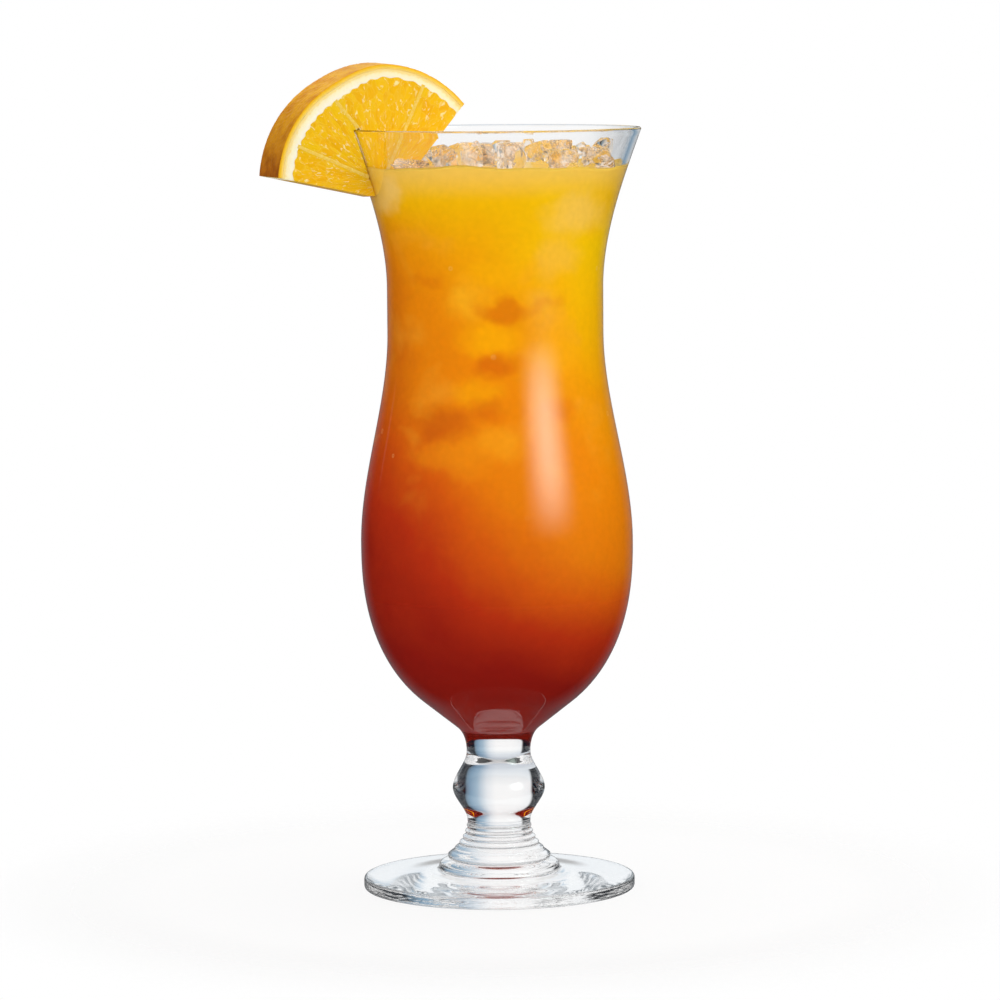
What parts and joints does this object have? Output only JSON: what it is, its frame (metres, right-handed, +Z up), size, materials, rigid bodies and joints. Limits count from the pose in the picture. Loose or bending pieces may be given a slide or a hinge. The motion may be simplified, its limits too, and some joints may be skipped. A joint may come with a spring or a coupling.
{
  "type": "hurricane glass",
  "caption": "Footed hurricane glass with a flared bowl and knopped stem, holding a layered red and orange drink, floating crushed ice and an orange slice slit onto the rim.",
  "frame": {"origin": "centre of the foot's underside, on the surface it stands on", "axes": "+Z up the stem, -Y towards the viewer of the picture, the slice on the -X side"},
  "size_m": [0.1033, 0.079, 0.2237],
  "materials": {
    "clear_glass": "polished",
    "red_syrup": "gloss",
    "orange_juice": "gloss",
    "crushed_ice": "polished",
    "orange_zest": "satin",
    "orange_pith": "matte",
    "orange_membrane": "satin",
    "orange_pulp": "gloss"
  },
  "bodies": {
    "glass": {"bowl": "clear_glass", "stem": "clear_glass", "foot": "clear_glass", "syrup_layer": "red_syrup", "juice_layer": "orange_juice", "ice_sunk_1": "crushed_ice", "ice_sunk_2": "crushed_ice", "ice_sunk_3": "crushed_ice"},
    "orange_slice": {"slice_zest": "orange_zest", "slice_pith": "orange_pith", "slice_core": "orange_pith", "slice_membrane_1": "orange_membrane", "slice_membrane_2": "orange_membrane", "slice_membrane_3": "orange_membrane", "slice_segment_1": "orange_pulp", "slice_segment_2": "orange_pulp", "slice_segment_3": "orange_pulp", "slice_segment_4": "orange_pulp"},
    "ice_1": {"ice_float_1": "crushed_ice"},
    "ice_2": {"ice_float_2": "crushed_ice"},
    "ice_3": {"ice_float_3": "crushed_ice"},
    "ice_4": {"ice_float_4": "crushed_ice"},
    "ice_5": {"ice_float_5": "crushed_ice"},
    "ice_6": {"ice_float_6": "crushed_ice"},
    "ice_7": {"ice_float_7": "crushed_ice"},
    "ice_8": {"ice_float_8": "crushed_ice"},
    "ice_9": {"ice_float_9": "crushed_ice"},
    "ice_10": {"ice_float_10": "crushed_ice"},
    "ice_11": {"ice_float_11": "crushed_ice"},
    "ice_12": {"ice_float_12": "crushed_ice"}
  },
  "joints": [
    {"name": "slice_lift", "type": "slide", "parent": "glass", "child": "orange_slice", "axis": [-0.3005, -0.1307, 0.9448], "range_m": [0, 0.04]},
    {"name": "ice_1_lift", "type": "slide", "parent": "glass", "child": "ice_1", "axis": [0, 0, 1], "range_m": [0, 0.03]},
    {"name": "ice_2_lift", "type": "slide", "parent": "glass", "child": "ice_2", "axis": [0, 0, 1], "range_m": [0, 0.03]},
    {"name": "ice_3_lift", "type": "slide", "parent": "glass", "child": "ice_3", "axis": [0, 0, 1], "range_m": [0, 0.03]},
    {"name": "ice_4_lift", "type": "slide", "parent": "glass", "child": "ice_4", "axis": [0, 0, 1], "range_m": [0, 0.03]},
    {"name": "ice_5_lift", "type": "slide", "parent": "glass", "child": "ice_5", "axis": [0, 0, 1], "range_m": [0, 0.03]},
    {"name": "ice_6_lift", "type": "slide", "parent": "glass", "child": "ice_6", "axis": [0, 0, 1], "range_m": [0, 0.03]},
    {"name": "ice_7_lift", "type": "slide", "parent": "glass", "child": "ice_7", "axis": [0, 0, 1], "range_m": [0, 0.03]},
    {"name": "ice_8_lift", "type": "slide", "parent": "glass", "child": "ice_8", "axis": [0, 0, 1], "range_m": [0, 0.03]},
    {"name": "ice_9_lift", "type": "slide", "parent": "glass", "child": "ice_9", "axis": [0, 0, 1], "range_m": [0, 0.03]},
    {"name": "ice_10_lift", "type": "slide", "parent": "glass", "child": "ice_10", "axis": [0, 0, 1], "range_m": [0, 0.03]},
    {"name": "ice_11_lift", "type": "slide", "parent": "glass", "child": "ice_11", "axis": [0, 0, 1], "range_m": [0, 0.03]},
    {"name": "ice_12_lift", "type": "slide", "parent": "glass", "child": "ice_12", "axis": [0, 0, 1], "range_m": [0, 0.03]}
  ]
}
